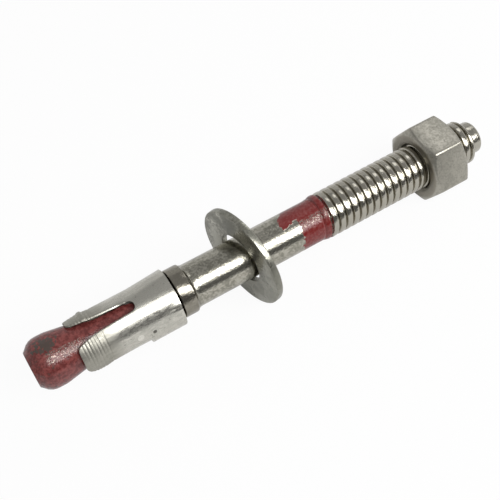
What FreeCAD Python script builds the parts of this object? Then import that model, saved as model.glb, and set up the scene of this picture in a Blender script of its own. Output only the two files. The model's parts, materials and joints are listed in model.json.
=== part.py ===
import FreeCAD, Part
import Sketcher
import math
import os

# Wedge anchor, lying as it rests on a table, in millimetres and +Z up.
# Each piece is drawn along its own X axis, from the cone end towards the threaded end.
# The whole anchor then slopes down a little, because it lies on the washer's rim and on the nut.

SIZES = [
    ("overall_length", 97.1),
    ("cone_face_dia", 6.8),
    ("cone_dia", 9.86),
    ("cone_nose", 2.5),
    ("cone_land", 1.9),
    ("cone_angle", 9.3),
    ("neck_dia", 7.6),
    ("collar_start", 27.85),
    ("collar_width", 3.35),
    ("collar_dia", 9.55),
    ("collar_shoulder", 0.85),
    ("shank_dia", 8.42),
    ("thread_start", 59.3),
    ("thread_runout", 1.2),
    ("thread_dia", 9.12),
    ("thread_end", 94.8),
    ("thread_chamfer", 0.65),
    ("point_dia", 6.64),
    ("point_chamfer", 0.45),
    ("clip_length", 19.35),
    ("clip_collar_gap", 0.35),
    ("clip_neck_gap", 0.3),
    ("clip_cone_gap", 0.15),
    ("clip_sheet", 1.0),
    ("clip_tip_edge", 0.5),
    ("clip_roll", 124.0),
    ("flare_length", 4.3),
    ("crown_place", 3.1),
    ("crown_rise", 0.374),
    ("crown_end", 5.3),
    ("slot_count", 3),
    ("slot_length", 12.1),
    ("slot_end_width", 2.1),
    ("slot_mouth_width", 3.5),
    ("slot_corner", 1.9),
    ("seam_gap", 0.4),
    ("rib_count", 6),
    ("rib_pitch", 0.72),
    ("rib_start", 0.85),
    ("rib_depth", 0.16),
    ("rib_width", 0.42),
    ("land_length", 6.9),
    ("land_height", 0.5),
    ("land_angle", 96.0),
    ("lip_height", 0.45),
    ("lip_angle", 116.0),
    ("washer_dia", 20.64),
    ("washer_hole", 10.32),
    ("washer_thickness", 1.3),
    ("washer_edge", 0.2),
    ("washer_station", 42.6),
    ("washer_yaw", 10.0),
    ("washer_thread_gap", 0.1),
    ("nut_flats", 14.2),
    ("nut_height", 8.0),
    ("nut_chamfer_dia", 13.1),
    ("nut_chamfer_angle", 30.0),
    ("nut_bore_gap", 0.05),
    ("nut_countersink", 0.55),
    ("thread_past_nut", 4.4),
]

# Lengths that several pieces share, as formulas on the sizes
CONE_LAND_END = "(Sizes.cone_nose + Sizes.cone_land)"
CONE_DROP = "((Sizes.cone_dia - Sizes.neck_dia) / 2)"
CONE_END = "(" + CONE_LAND_END + " + " + CONE_DROP + " / tan(Sizes.cone_angle))"
COLLAR_END = "(Sizes.collar_start + Sizes.collar_width)"
CLIP_START = "(Sizes.collar_start - Sizes.clip_collar_gap - Sizes.clip_length)"
CLIP_BORE = "(Sizes.neck_dia / 2 + Sizes.clip_neck_gap)"
CLIP_OUTER = "(" + CLIP_BORE + " + Sizes.clip_sheet)"
CONE_AT_TIP = (
    "(Sizes.cone_dia / 2 - (" + CLIP_START + " - " + CONE_LAND_END + ") * tan(Sizes.cone_angle))"
)
TIP_BORE = "(" + CONE_AT_TIP + " + Sizes.clip_cone_gap)"
TIP_OUTER = "(" + TIP_BORE + " + Sizes.clip_tip_edge)"
CROWN = "(" + TIP_OUTER + " + Sizes.crown_rise)"
LAND_START = "(Sizes.clip_length - Sizes.land_length)"
NUT_START = "(Sizes.thread_end - Sizes.thread_past_nut - Sizes.nut_height)"
NUT_BORE = "(Sizes.thread_dia / 2 + Sizes.nut_bore_gap)"

# The number that a sketch gives the centre of an arc
CENTRE_INDEX = 3

FULL_TURN = 360
NUT_SIDES = 6
SETTLING_ROUNDS = 6

X_AXIS = FreeCAD.Vector(1, 0, 0)
Y_AXIS = FreeCAD.Vector(0, 1, 0)
Z_AXIS = FreeCAD.Vector(0, 0, 1)


def make_sheet(doc):
    sheet = doc.addObject("Spreadsheet::Sheet", "Sizes")
    for row, (name, value) in enumerate(SIZES, start=1):
        sheet.set("A" + str(row), name)
        sheet.set("B" + str(row), str(value))
        sheet.setAlias("B" + str(row), name)
    doc.recompute()
    return sheet


def make_body(doc, label):
    body = doc.addObject("PartDesign::Body", label)
    body.Label = label
    return body


def origin_plane(body, role):
    return next(f for f in body.Origin.OriginFeatures if f.Role == role)


def new_sketch(body, name, role, lift=None):
    """A sketch on one of the body's own planes, lifted off it by a formula if one is given."""
    sketch = body.newObject("Sketcher::SketchObject", name)
    sketch.AttachmentSupport = (origin_plane(body, role), [""])
    sketch.MapMode = "FlatFace"
    if lift:
        sketch.setExpression("AttachmentOffset.Base.z", lift)
    body.Document.recompute()
    return sketch


def number(sketch, formula):
    value = sketch.evalExpression(formula)
    return float(getattr(value, "Value", value))


def pin_across(sketch, edge, place, across):
    """Fixes how far along the sketch one point of an edge lies."""
    if across == "0":
        sketch.addConstraint(Sketcher.Constraint("PointOnObject", edge, place, -2))
    else:
        row = sketch.addConstraint(
            Sketcher.Constraint("DistanceX", -1, 1, edge, place, number(sketch, across))
        )
        sketch.setExpression("Constraints[" + str(row) + "]", across)


def pin_up(sketch, edge, place, up):
    """Fixes how far up the sketch one point of an edge lies."""
    if up == "0":
        sketch.addConstraint(Sketcher.Constraint("PointOnObject", edge, place, -1))
    else:
        row = sketch.addConstraint(
            Sketcher.Constraint("DistanceY", -1, 1, edge, place, number(sketch, up))
        )
        sketch.setExpression("Constraints[" + str(row) + "]", up)


def arc_through(start, end, radius, left):
    """The shorter arc from start to end, with its centre to the left or right of the way."""
    chord = end - start
    side = FreeCAD.Vector(-chord.y, chord.x, 0).normalize()
    if not left:
        side = side * -1
    depth = math.sqrt(radius ** 2 - (chord.Length / 2) ** 2)
    centre = (start + end) / 2 + side * depth
    middle = centre - side * radius
    return Part.Arc(start, middle, end)


def draw_outline(sketch, corners):
    """Draws a closed outline. A corner is (across, up) for a straight edge to the next corner,
    or (across, up, radius, side) for an arc to it with its centre on that side of the way.
    The radius "half" makes a half circle on the two corners, which stand one above the other."""
    points = [FreeCAD.Vector(number(sketch, c[0]), number(sketch, c[1]), 0) for c in corners]
    count = len(corners)
    for index, corner in enumerate(corners):
        start = points[index]
        end = points[(index + 1) % count]
        if len(corner) == 2:
            sketch.addGeometry(Part.LineSegment(start, end), False)
        else:
            radius = arc_radius(sketch, corner[2], start, end)
            sketch.addGeometry(arc_through(start, end, radius, corner[3] == "left"), False)
    for index, corner in enumerate(corners):
        after = (index + 1) % count
        here = edge_end(sketch, index, points[after])
        there = edge_end(sketch, after, points[after])
        sketch.addConstraint(Sketcher.Constraint("Coincident", index, here, after, there))
        pin_across(sketch, index, edge_end(sketch, index, points[index]), corner[0])
        pin_up(sketch, index, edge_end(sketch, index, points[index]), corner[1])
        if len(corner) == 4 and corner[2] == "half":
            pin_across(sketch, index, CENTRE_INDEX, corner[0])
        elif len(corner) == 4:
            row = sketch.addConstraint(
                Sketcher.Constraint("Radius", index, number(sketch, corner[2]))
            )
            sketch.setExpression("Constraints[" + str(row) + "]", corner[2])


def arc_radius(sketch, formula, start, end):
    if formula == "half":
        return start.distanceToPoint(end) / 2
    return number(sketch, formula)


def edge_end(sketch, index, point):
    """1 or 2, the end of an edge that lies at a point. An arc may run the other way round."""
    start = sketch.getPoint(index, 1)
    end = sketch.getPoint(index, 2)
    if start.distanceToPoint(point) <= end.distanceToPoint(point):
        return 1
    return 2


def revolve(body, sketch, kind, name, angle=None):
    feature = body.newObject("PartDesign::" + kind, name)
    feature.Profile = sketch
    feature.ReferenceAxis = (sketch, ["H_Axis"])
    if angle:
        feature.Midplane = True
        feature.setExpression("Angle", angle)
    else:
        feature.Angle = FULL_TURN
    sketch.Visibility = False
    body.Document.recompute()
    return feature


def make_stud(doc):
    """The stud: cone, neck, collar, shank, thread and point, turned as one piece.
    The thread stands here as its outside diameter."""
    body = make_body(doc, "stud")
    sketch = new_sketch(body, "StudProfile", "XZ_Plane")
    nose_rise = "((Sizes.cone_dia - Sizes.cone_face_dia) / 2)"
    nose_radius = "((Sizes.cone_nose ^ 2 + " + nose_rise + " ^ 2) / (2 * " + nose_rise + "))"
    step = "((Sizes.collar_dia - Sizes.shank_dia) / 2)"
    shoulder_radius = "((Sizes.collar_shoulder ^ 2 + " + step + " ^ 2) / (2 * " + step + "))"
    draw_outline(sketch, [
        ("0", "0"),
        ("0", "Sizes.cone_face_dia / 2", nose_radius, "right"),
        ("Sizes.cone_nose", "Sizes.cone_dia / 2"),
        (CONE_LAND_END, "Sizes.cone_dia / 2"),
        (CONE_END, "Sizes.neck_dia / 2"),
        ("Sizes.collar_start", "Sizes.neck_dia / 2"),
        ("Sizes.collar_start", "Sizes.collar_dia / 2"),
        (COLLAR_END + " - Sizes.collar_shoulder", "Sizes.collar_dia / 2", shoulder_radius, "right"),
        (COLLAR_END, "Sizes.shank_dia / 2"),
        ("Sizes.thread_start - Sizes.thread_runout", "Sizes.shank_dia / 2"),
        ("Sizes.thread_start", "Sizes.thread_dia / 2"),
        ("Sizes.thread_end - Sizes.thread_chamfer", "Sizes.thread_dia / 2"),
        ("Sizes.thread_end", "Sizes.thread_dia / 2 - Sizes.thread_chamfer"),
        ("Sizes.thread_end", "Sizes.point_dia / 2"),
        ("Sizes.overall_length - Sizes.point_chamfer", "Sizes.point_dia / 2"),
        ("Sizes.overall_length", "Sizes.point_dia / 2 - Sizes.point_chamfer"),
        ("Sizes.overall_length", "0"),
    ])
    revolve(body, sketch, "Revolution", "StudTurning")
    return body


def slot_outline(sketch, share):
    """A tapered slot seen from above, with its mouth at the tongue tips and a round closed end.
    share narrows it towards the axis, so that its walls stand square to the rolled sheet."""
    end_half = "Sizes.slot_end_width / 2 * " + share
    mouth_half = "Sizes.slot_mouth_width / 2 * " + share
    tip_half = "(Sizes.slot_mouth_width / 2 + Sizes.slot_corner) * " + share
    corner_reach = "(Sizes.slot_corner * " + share + ")"
    corner = "((Sizes.slot_corner ^ 2 + " + corner_reach + " ^ 2) / (2 * " + corner_reach + "))"
    end_place = "Sizes.slot_length - Sizes.slot_end_width / 2 * " + share
    draw_outline(sketch, [
        ("-Sizes.slot_corner", "-(" + tip_half + ")"),
        ("0", "-(" + tip_half + ")", corner, "right"),
        ("Sizes.slot_corner", "-(" + mouth_half + ")"),
        (end_place, "-(" + end_half + ")", "half", "left"),
        (end_place, end_half),
        ("Sizes.slot_corner", mouth_half, corner, "right"),
        ("0", tip_half),
        ("-Sizes.slot_corner", tip_half),
    ])


def make_clip(doc):
    """The expansion clip, drawn from its tongue tips at X 0, with one slot straight up."""
    body = make_body(doc, "expansion_clip")
    sketch = new_sketch(body, "SleeveProfile", "XZ_Plane")
    crown_radius = "((Sizes.crown_place ^ 2 + Sizes.crown_rise ^ 2) / (2 * Sizes.crown_rise))"
    draw_outline(sketch, [
        ("0", TIP_BORE),
        ("0", TIP_OUTER, crown_radius, "right"),
        ("Sizes.crown_place", CROWN),
        ("Sizes.crown_end", CLIP_OUTER),
        ("Sizes.clip_length", CLIP_OUTER),
        ("Sizes.clip_length", CLIP_BORE),
        ("Sizes.flare_length", CLIP_BORE),
    ])
    revolve(body, sketch, "Revolution", "Sleeve")
    add_raised_lands(body)
    cut_ribs(body)
    cut_slots(body)
    return body


def add_raised_lands(body):
    """The land pressed up round the seam, and the lip that springs up on the far side."""
    land = new_sketch(body, "LandProfile", "XZ_Plane")
    draw_outline(land, [
        (LAND_START, CLIP_BORE + " + Sizes.clip_sheet / 2"),
        (LAND_START, CLIP_OUTER + " + Sizes.land_height"),
        ("Sizes.clip_length", CLIP_OUTER + " + Sizes.land_height"),
        ("Sizes.clip_length", CLIP_BORE + " + Sizes.clip_sheet / 2"),
    ])
    revolve(body, land, "Revolution", "RaisedLand", "Sizes.land_angle")
    lip = new_sketch(body, "LipProfile", "XZ_Plane")
    draw_outline(lip, [
        (LAND_START, "-(" + CLIP_BORE + " + Sizes.clip_sheet / 2)"),
        (LAND_START, "-" + CLIP_OUTER),
        ("Sizes.clip_length", "-(" + CLIP_OUTER + " + Sizes.lip_height)"),
        ("Sizes.clip_length", "-(" + CLIP_BORE + " + Sizes.clip_sheet / 2)"),
    ])
    revolve(body, lip, "Revolution", "SprungLip", "Sizes.lip_angle")


def cut_ribs(body):
    """Round grooves across the tongue tips, which leave the ribs standing between them."""
    sketch = new_sketch(body, "RibProfile", "XZ_Plane")
    draw_outline(sketch, [
        ("Sizes.rib_start - Sizes.rib_width / 2", CROWN + " + Sizes.rib_depth"),
        ("Sizes.rib_start", CROWN + " - Sizes.rib_depth"),
        ("Sizes.rib_start + Sizes.rib_width / 2", CROWN + " + Sizes.rib_depth"),
    ])
    groove = revolve(body, sketch, "Groove", "RibGroove")
    pattern = body.newObject("PartDesign::LinearPattern", "RibGrooves")
    pattern.Originals = [groove]
    pattern.Direction = (origin_line(body, "X_Axis"), [""])
    pattern.Mode = "Spacing"
    pattern.setExpression("Offset", "Sizes.rib_pitch")
    pattern.setExpression("Occurrences", "Sizes.rib_count")
    body.Tip = pattern
    body.Document.recompute()


def origin_line(body, role):
    return next(f for f in body.Origin.OriginFeatures if f.Role == role)


def cut_slots(body):
    """The tapered slots round the clip, and the seam from one slot to the collar end."""
    low = "(" + CLIP_BORE + " / 2)"
    high = "(" + CLIP_OUTER + " + Sizes.clip_sheet)"
    inner = new_sketch(body, "SlotInside", "XY_Plane", low)
    slot_outline(inner, "(" + low + " / " + CLIP_OUTER + ")")
    outer = new_sketch(body, "SlotOutside", "XY_Plane", high)
    slot_outline(outer, "(" + high + " / " + CLIP_OUTER + ")")
    slot = body.newObject("PartDesign::SubtractiveLoft", "Slot")
    slot.Profile = inner
    slot.Sections = [outer]
    slot.Ruled = True
    body.Document.recompute()
    pattern = body.newObject("PartDesign::PolarPattern", "Slots")
    pattern.Originals = [slot]
    pattern.Axis = (origin_line(body, "X_Axis"), [""])
    pattern.Angle = FULL_TURN
    pattern.setExpression("Occurrences", "Sizes.slot_count")
    body.Tip = pattern
    body.Document.recompute()
    seam = new_sketch(body, "SeamOutline", "XY_Plane")
    draw_outline(seam, [
        ("Sizes.slot_length - Sizes.slot_end_width", "-Sizes.seam_gap / 2"),
        ("Sizes.clip_length + Sizes.clip_sheet", "-Sizes.seam_gap / 2"),
        ("Sizes.clip_length + Sizes.clip_sheet", "Sizes.seam_gap / 2"),
        ("Sizes.slot_length - Sizes.slot_end_width", "Sizes.seam_gap / 2"),
    ])
    cut = body.newObject("PartDesign::Pocket", "Seam")
    cut.Profile = seam
    cut.setExpression("Length", CLIP_OUTER + " + Sizes.land_height + Sizes.clip_sheet")
    cut.Reversed = True
    body.Document.recompute()


def make_washer(doc):
    """The flat washer, drawn about its own middle with its axis along X."""
    body = make_body(doc, "washer")
    sketch = new_sketch(body, "WasherProfile", "XZ_Plane")
    half = "Sizes.washer_thickness / 2"
    draw_outline(sketch, [
        ("-" + half, "Sizes.washer_hole / 2"),
        ("-" + half, "Sizes.washer_dia / 2 - Sizes.washer_edge"),
        ("-" + half + " + Sizes.washer_edge", "Sizes.washer_dia / 2"),
        (half + " - Sizes.washer_edge", "Sizes.washer_dia / 2"),
        (half, "Sizes.washer_dia / 2 - Sizes.washer_edge"),
        (half, "Sizes.washer_hole / 2"),
    ])
    revolve(body, sketch, "Revolution", "WasherRing")
    return body


def hexagon_corners():
    """The nut's six corners round the origin, the first of them straight across on the axis."""
    side_turn = FULL_TURN // NUT_SIDES
    corner = "(Sizes.nut_flats / 2 / cos(" + str(side_turn / 2) + "))"
    corners = []
    for side in range(NUT_SIDES):
        angle = side * side_turn
        on_axis = angle % (FULL_TURN // 2) == 0
        up = "0" if on_axis else corner + " * sin(" + str(angle) + ")"
        corners.append((corner + " * cos(" + str(angle) + ")", up))
    return corners


def make_nut(doc):
    """The hexagon nut from its front face at X 0, lying on one of its flats."""
    body = make_body(doc, "hex_nut")
    sketch = new_sketch(body, "NutProfile", "YZ_Plane")
    draw_outline(sketch, hexagon_corners())
    pad = body.newObject("PartDesign::Pad", "NutBlank")
    pad.Profile = sketch
    pad.setExpression("Length", "Sizes.nut_height")
    body.Document.recompute()
    rim = "Sizes.nut_chamfer_dia / 2"
    reach = "Sizes.nut_flats"
    slope = "(" + reach + " - " + rim + ") * tan(Sizes.nut_chamfer_angle)"
    front = new_sketch(body, "FrontChamfer", "XZ_Plane")
    draw_outline(front, [
        ("0", rim),
        (slope, reach),
        ("-Sizes.nut_countersink", reach),
        ("-Sizes.nut_countersink", rim),
    ])
    revolve(body, front, "Groove", "FrontCorners")
    back = new_sketch(body, "BackChamfer", "XZ_Plane")
    draw_outline(back, [
        ("Sizes.nut_height", rim),
        ("Sizes.nut_height - " + slope, reach),
        ("Sizes.nut_height + Sizes.nut_countersink", reach),
        ("Sizes.nut_height + Sizes.nut_countersink", rim),
    ])
    revolve(body, back, "Groove", "BackCorners")
    bore = new_sketch(body, "BoreProfile", "XZ_Plane")
    draw_outline(bore, [
        ("0", "0"),
        ("0", NUT_BORE + " + Sizes.nut_countersink"),
        ("Sizes.nut_countersink", NUT_BORE),
        ("Sizes.nut_height - Sizes.nut_countersink", NUT_BORE),
        ("Sizes.nut_height", NUT_BORE + " + Sizes.nut_countersink"),
        ("Sizes.nut_height", "0"),
    ])
    revolve(body, bore, "Groove", "Bore")
    return body


def resting_slope(size, hang, nut_start):
    """How far the anchor slopes down towards its nut, and how high its cone end lies. The washer
    leans with the anchor, so its height and the slope settle each other in a few rounds."""
    flat = size["nut_flats"] / 2
    flat_cut = (flat - size["nut_chamfer_dia"] / 2) * math.tan(math.radians(size["nut_chamfer_angle"]))
    foot = nut_start + size["nut_height"] - flat_cut
    span = foot - size["washer_station"]
    slope = 0.0
    for settling in range(SETTLING_ROUNDS):
        lean = math.asin(math.sin(slope) * math.cos(math.radians(size["washer_yaw"])))
        rim_height = size["washer_dia"] / 2 * math.cos(lean)
        rim_height += (size["washer_thickness"] / 2 - size["washer_edge"]) * math.sin(lean)
        slope = math.asin(rim_height / math.hypot(flat + hang, span))
        slope -= math.atan2(flat + hang, span)
    return slope, flat * math.cos(slope) + foot * math.sin(slope)


def place_pieces(sheet, stud, clip, washer, nut):
    """Lays the anchor down on the washer's rim and the rear edge of the nut's lowest flat,
    with the origin under the middle of its length."""
    size = {name: sheet.get(name) for name, value in SIZES}
    hang = size["washer_hole"] / 2 - size["thread_dia"] / 2 - size["washer_thread_gap"]
    nut_start = number(nut, NUT_START)
    slope, start_height = resting_slope(size, hang, nut_start)
    tip_reach = size["point_dia"] / 2 - size["point_chamfer"]
    first = -size["cone_face_dia"] / 2 * math.sin(slope)
    last = size["overall_length"] * math.cos(slope) + tip_reach * math.sin(slope)
    start = FreeCAD.Vector(-(first + last) / 2, 0, start_height)
    lie = FreeCAD.Placement(start, FreeCAD.Rotation(Y_AXIS, math.degrees(slope)))
    stud.Placement = lie
    roll = FreeCAD.Rotation(X_AXIS, size["clip_roll"])
    clip.Placement = lie * FreeCAD.Placement(X_AXIS * number(clip, CLIP_START), roll)
    nut.Placement = lie * FreeCAD.Placement(X_AXIS * nut_start, FreeCAD.Rotation())
    yaw = FreeCAD.Rotation(Z_AXIS, size["washer_yaw"])
    washer_middle = X_AXIS * size["washer_station"] + Z_AXIS * hang
    washer.Placement = lie * FreeCAD.Placement(washer_middle, yaw)


def check_and_write(doc, pieces):
    for thing in doc.Objects:
        if "Invalid" in thing.State or "Error" in thing.State:
            raise RuntimeError(thing.Label + " did not build: " + str(thing.State))
    for piece in pieces:
        if piece.Shape.isNull() or not piece.Shape.isValid() or len(piece.Shape.Solids) != 1:
            raise RuntimeError(piece.Label + " is not one sound solid")
    os.makedirs("parts", exist_ok=True)
    for piece in pieces:
        piece.Shape.exportStep(os.path.join("parts", piece.Label + ".step"))
        print(piece.Label, round(piece.Shape.Volume, 1), "mm3")


def main():
    doc = FreeCAD.newDocument("WedgeAnchor")
    sheet = make_sheet(doc)
    stud = make_stud(doc)
    clip = make_clip(doc)
    washer = make_washer(doc)
    nut = make_nut(doc)
    place_pieces(sheet, stud, clip, washer, nut)
    doc.recompute()
    check_and_write(doc, [stud, clip, washer, nut])


main()
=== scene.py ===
import json
import math

import bpy
from mathutils import Matrix, Vector


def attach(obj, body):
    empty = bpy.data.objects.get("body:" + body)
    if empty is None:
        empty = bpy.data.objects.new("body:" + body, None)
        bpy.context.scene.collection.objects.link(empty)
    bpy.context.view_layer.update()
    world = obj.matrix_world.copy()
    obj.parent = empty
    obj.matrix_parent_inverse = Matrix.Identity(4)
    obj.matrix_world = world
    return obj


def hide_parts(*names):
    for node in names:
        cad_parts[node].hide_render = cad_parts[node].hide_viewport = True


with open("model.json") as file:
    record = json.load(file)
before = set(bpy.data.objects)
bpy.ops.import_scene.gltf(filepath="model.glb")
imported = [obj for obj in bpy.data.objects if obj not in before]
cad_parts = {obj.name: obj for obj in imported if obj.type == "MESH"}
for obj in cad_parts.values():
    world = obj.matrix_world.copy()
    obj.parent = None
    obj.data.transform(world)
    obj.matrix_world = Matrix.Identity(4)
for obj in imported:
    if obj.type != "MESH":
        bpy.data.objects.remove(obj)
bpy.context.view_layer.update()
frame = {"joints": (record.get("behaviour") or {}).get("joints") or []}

bl_info = {
    "name": "Wedge anchor",
    "version": (1, 0, 0),
    "blender": (4, 5, 0),
    "location": "3D View > Sidebar > Anchor",
    "description": "Models and finishes a wedge anchor with its expansion clip, washer and nut",
    "category": "Add Mesh",
}

# Points round each turned piece
AROUND = 96
# Points nearer to each other than these are merged
CLEAN_DISTANCE = 0.000004
NUT_CLEAN_DISTANCE = 0.000002
FINE = 0.0000005
# Where the nut stands on the stud, which ties the stud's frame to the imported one
NUT_STATION = 0.0824
NUT_HEIGHT = 0.008


def lie_of_stud():
    """Turns the stud's own frame, cone end at the origin and X along it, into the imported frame."""
    joint = next(joint for joint in frame["joints"] if joint["name"] == "nut_turn")
    along = Vector(joint["axis"]).normalized()
    start = Vector(joint["pos_m"]) - along * (NUT_STATION + NUT_HEIGHT / 2)
    slope = math.atan2(-along.z, along.x)
    return Matrix.Translation(start) @ Matrix.Rotation(slope, 4, "Y")


LIE = lie_of_stud()


# Sizes and colours

def length(name, description, value):
    """A size in metres."""
    return bpy.props.FloatProperty(
        name=name, description=description, default=value, min=0.0, precision=5, unit="LENGTH"
    )


def angle(name, description, degrees):
    """An angle, with its default in degrees."""
    return bpy.props.FloatProperty(
        name=name, description=description, default=math.radians(degrees), subtype="ANGLE"
    )


def shift(name, description, value):
    """A place or a shift in metres."""
    return bpy.props.FloatVectorProperty(
        name=name, description=description, default=value, subtype="TRANSLATION", unit="LENGTH"
    )


def colour(name, description, value):
    return bpy.props.FloatVectorProperty(
        name=name, description=description, default=value, min=0.0, max=1.0, subtype="COLOR"
    )


class StudSizes(bpy.types.PropertyGroup):
    """Stations are measured along the stud from its cone end."""

    overall_length: length("Length", "Whole length of the stud", 0.0971)
    cone_face: length("Cone face", "Radius of the flat cone end", 0.0034)
    cone: length("Cone", "Largest radius of the cone", 0.00493)
    cone_nose: length("Cone nose", "Length of the rounded nose", 0.0025)
    cone_land: length("Cone land", "Length of the straight band after the nose", 0.0019)
    cone_end: length("Cone end", "Station where the cone meets the neck", 0.0113)
    neck: length("Neck", "Radius of the neck under the clip", 0.0038)
    collar_start: length("Collar start", "Station of the collar's square shoulder", 0.02785)
    collar_width: length("Collar width", "Width of the collar", 0.00335)
    collar: length("Collar", "Radius of the collar", 0.004775)
    shoulder: length("Shoulder", "Width of the collar's rounded shoulder", 0.00085)
    shank: length("Shank", "Radius of the plain shank", 0.00421)
    edge: length("Edge", "Rounding of the turned edges", 0.00012)
    point: length("Point", "Radius of the driving point", 0.00332)
    point_edge: length("Point edge", "Rounding at the end of the point", 0.00045)


class ThreadSizes(bpy.types.PropertyGroup):
    start: length("Start", "Station where the thread begins to rise", 0.0576)
    full: length("Full", "Station where the thread has its full depth", 0.06)
    end: length("End", "Station where the thread ends", 0.0948)
    pitch: length("Pitch", "Distance from crest to crest", 0.0015875)
    crest: length("Crest", "Radius of the crests", 0.00456)
    root: length("Root", "Radius of the roots", 0.00391)
    turn: angle("Turn", "Turn of the helix about the stud", 350.0)


class ClipSizes(bpy.types.PropertyGroup):
    """Distances from the tips run along the clip towards the collar."""

    start: length("Start", "Station of the tongue tips", 0.00815)
    clip_length: length("Length", "Length of the clip", 0.01935)
    outer: length("Outer radius", "Outside of the rolled sheet", 0.0051)
    sheet: length("Sheet", "Thickness of the sheet", 0.001)
    tip_outer: length("Tip radius", "Outside of the tongues at their tips", 0.004966)
    tip_sheet: length("Tip thickness", "Thickness of the tongues at their tips", 0.0005)
    crown: length("Crown", "Outside of the tongues at the bump", 0.00527)
    crown_place: length("Crown place", "Bump's distance from the tips", 0.0031)
    crown_end: length("Crown end", "Distance from the tips where the bump has gone", 0.0053)
    slot_length: length("Slot length", "Length of each slot", 0.0121)
    slot_end: length("Slot end", "Half width of a slot at its closed end", 0.00105)
    slot_mouth: length("Slot mouth", "Half width of a slot at the tips", 0.00175)
    slot_corner: length("Slot corner", "Rounding of the tongue corners", 0.0019)
    flared_corner: length("Flared corner", "Rounding of the corners beside the flared slot", 0.0008)
    flare: length("Flare", "Extra half width at the tips of the flared slot", 0.00075)
    flare_length: length("Flare length", "Distance from the tips where the flare has gone", 0.0055)
    seam: length("Seam", "Half width of the seam", 0.0002)
    slots: bpy.props.IntProperty(name="Slots", description="Number of slots", default=3, min=1)
    first_slot: angle("First slot", "Turn of the seam's slot about the stud", 216.0)
    land_length: length("Land length", "Length of the raised land at the seam", 0.0069)
    land_height: length("Land height", "Height of the raised land", 0.0005)
    land_angle: angle("Land angle", "Half the angle that the land covers", 48.0)
    fold_turn: angle("Fold turn", "Turn from the seam to the short fold at the collar", -70.0)
    lip_height: length("Lip height", "Height of the sprung lip at the collar", 0.00045)
    lip_angle: angle("Lip angle", "Half the angle that the lip covers", 58.0)
    ribs: bpy.props.IntProperty(name="Ribs", description="Grooves across tips", default=8, min=1)
    rib_start: length("Rib start", "First groove's distance from the tips", 0.00085)
    rib_pitch: length("Rib pitch", "Distance between the grooves", 0.00058)
    rib_depth: length("Rib depth", "Depth of the grooves", 0.00009)
    rib_width: length("Rib width", "Half width of the grooves", 0.00022)
    nub_place: length("Nub place", "Nub's distance from the tips", 0.0032)
    nub_reach: length("Nub reach", "Half the width of the nub", 0.00065)
    nub_height: length("Nub height", "Height of the nub on the back tongue", 0.00026)
    splay: length("Splay", "How far the lowest tongue stands out at its tip", 0.0003)
    edge: length("Edge", "Rounding of the cut edges", 0.00011)
    sheared_width: length("Sheared width", "Width of the slope on the sheared edges", 0.00036)
    sheared_depth: length("Sheared depth", "Depth of that slope", 0.00025)
    slack: shift("Slack", "How far the loose clip sits off its axis", (0.0, -0.00017, -0.0001))


class WasherSizes(bpy.types.PropertyGroup):
    station: length("Station", "Washer's middle along the stud", 0.0426)
    hang: length("Hang", "Height of its middle over the stud's axis", 0.0005)
    yaw: angle("Yaw", "Turn about the upright", 10.0)
    outer: length("Outer radius", "Outside radius", 0.010308)
    hole: length("Hole radius", "Radius of the hole", 0.00516)
    thickness: length("Thickness", "Thickness", 0.0013)
    edge: length("Edge", "Rounding of the edges", 0.00017)


class NutSizes(bpy.types.PropertyGroup):
    station: length("Station", "Station of the front face", NUT_STATION)
    height: length("Height", "Height along the stud", NUT_HEIGHT)
    flats: length("Flats", "Distance across the flats", 0.0142)
    chamfer: length("Chamfer", "Radius where the corners' chamfer begins", 0.00655)
    chamfer_angle: angle("Chamfer angle", "Slope of the chamfer", 30.0)
    bore: length("Bore", "Radius of the bore", 0.00461)
    countersink: length("Countersink", "Depth of the countersink", 0.00055)
    edge: length("Edge", "Rounding of the edges", 0.0003)


class Colours(bpy.types.PropertyGroup):
    steel: colour("Steel", "Bare steel", (0.5, 0.48, 0.415))
    steel_dark: colour("Dull steel", "Steel where it is dull", (0.28, 0.27, 0.225))
    nut: colour("Nut steel", "Plating of the nut", (0.44, 0.42, 0.366))
    nut_dark: colour("Dull nut steel", "Plating of the nut where it is dull", (0.335, 0.323, 0.278))
    thread: colour("Thread steel", "Steel where the thread was rolled", (0.43, 0.41, 0.355))
    sheet: colour("Sheet steel", "Sheet of the clip", (0.62, 0.6, 0.54))
    sheet_dark: colour("Dull sheet", "Sheet of the clip where it is dull", (0.54, 0.53, 0.475))
    paint: colour("Paint", "Marking paint where it is thick", (0.112, 0.023, 0.021))
    paint_bright: colour("Bright paint", "Marking paint of the band", (0.168, 0.013, 0.012))
    paint_thin: colour("Thin paint", "Marking paint where it is thin", (0.22, 0.057, 0.051))
    scale: colour("Scale", "Dark bare metal under worn paint", (0.07, 0.05, 0.042))
    # Also painted shade on the nut's face towards the washer
    collar: colour("Collar steel", "Dull steel of the collar", (0.26, 0.24, 0.2))
    rubbed: colour("Rubbed sheet", "Sheet where it is rubbed bright", (0.95, 0.93, 0.85))
    # Near black: painted shade inside the clip and on its cut edges, partly the sheared metal's own
    # dull dark
    sheared: colour("Sheared edge", "Dark inside and cut edges of the clip", (0.05, 0.045, 0.04))
    zinc: colour("Zinc", "Dull plating of the washer", (0.48, 0.47, 0.405))
    # Also painted shade on the washer's lower half
    zinc_dark_and_shade: colour("Dark zinc", "Washer's plating where it is darkest", (0.22, 0.217, 0.184))
    floor: colour("Floor", "Floor and backdrop", (0.8, 0.8, 0.8))


class StageSizes(bpy.types.PropertyGroup):
    camera_place: shift("Camera place", "Where the camera stands", (-0.03867, -0.07446, 0.1409))
    camera_turn: bpy.props.FloatVectorProperty(
        name="Camera turn", description="How the camera is turned", subtype="EULER",
        default=[math.radians(turn) for turn in (32.01, 4.444, -31.868)], unit="ROTATION",
    )
    lens: bpy.props.FloatProperty(
        name="Lens", description="Focal length on a 36 mm sensor", default=59.76, unit="CAMERA"
    )
    floor: length("Floor", "Length of the floor's side", 3.0)


# Finishes

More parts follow.
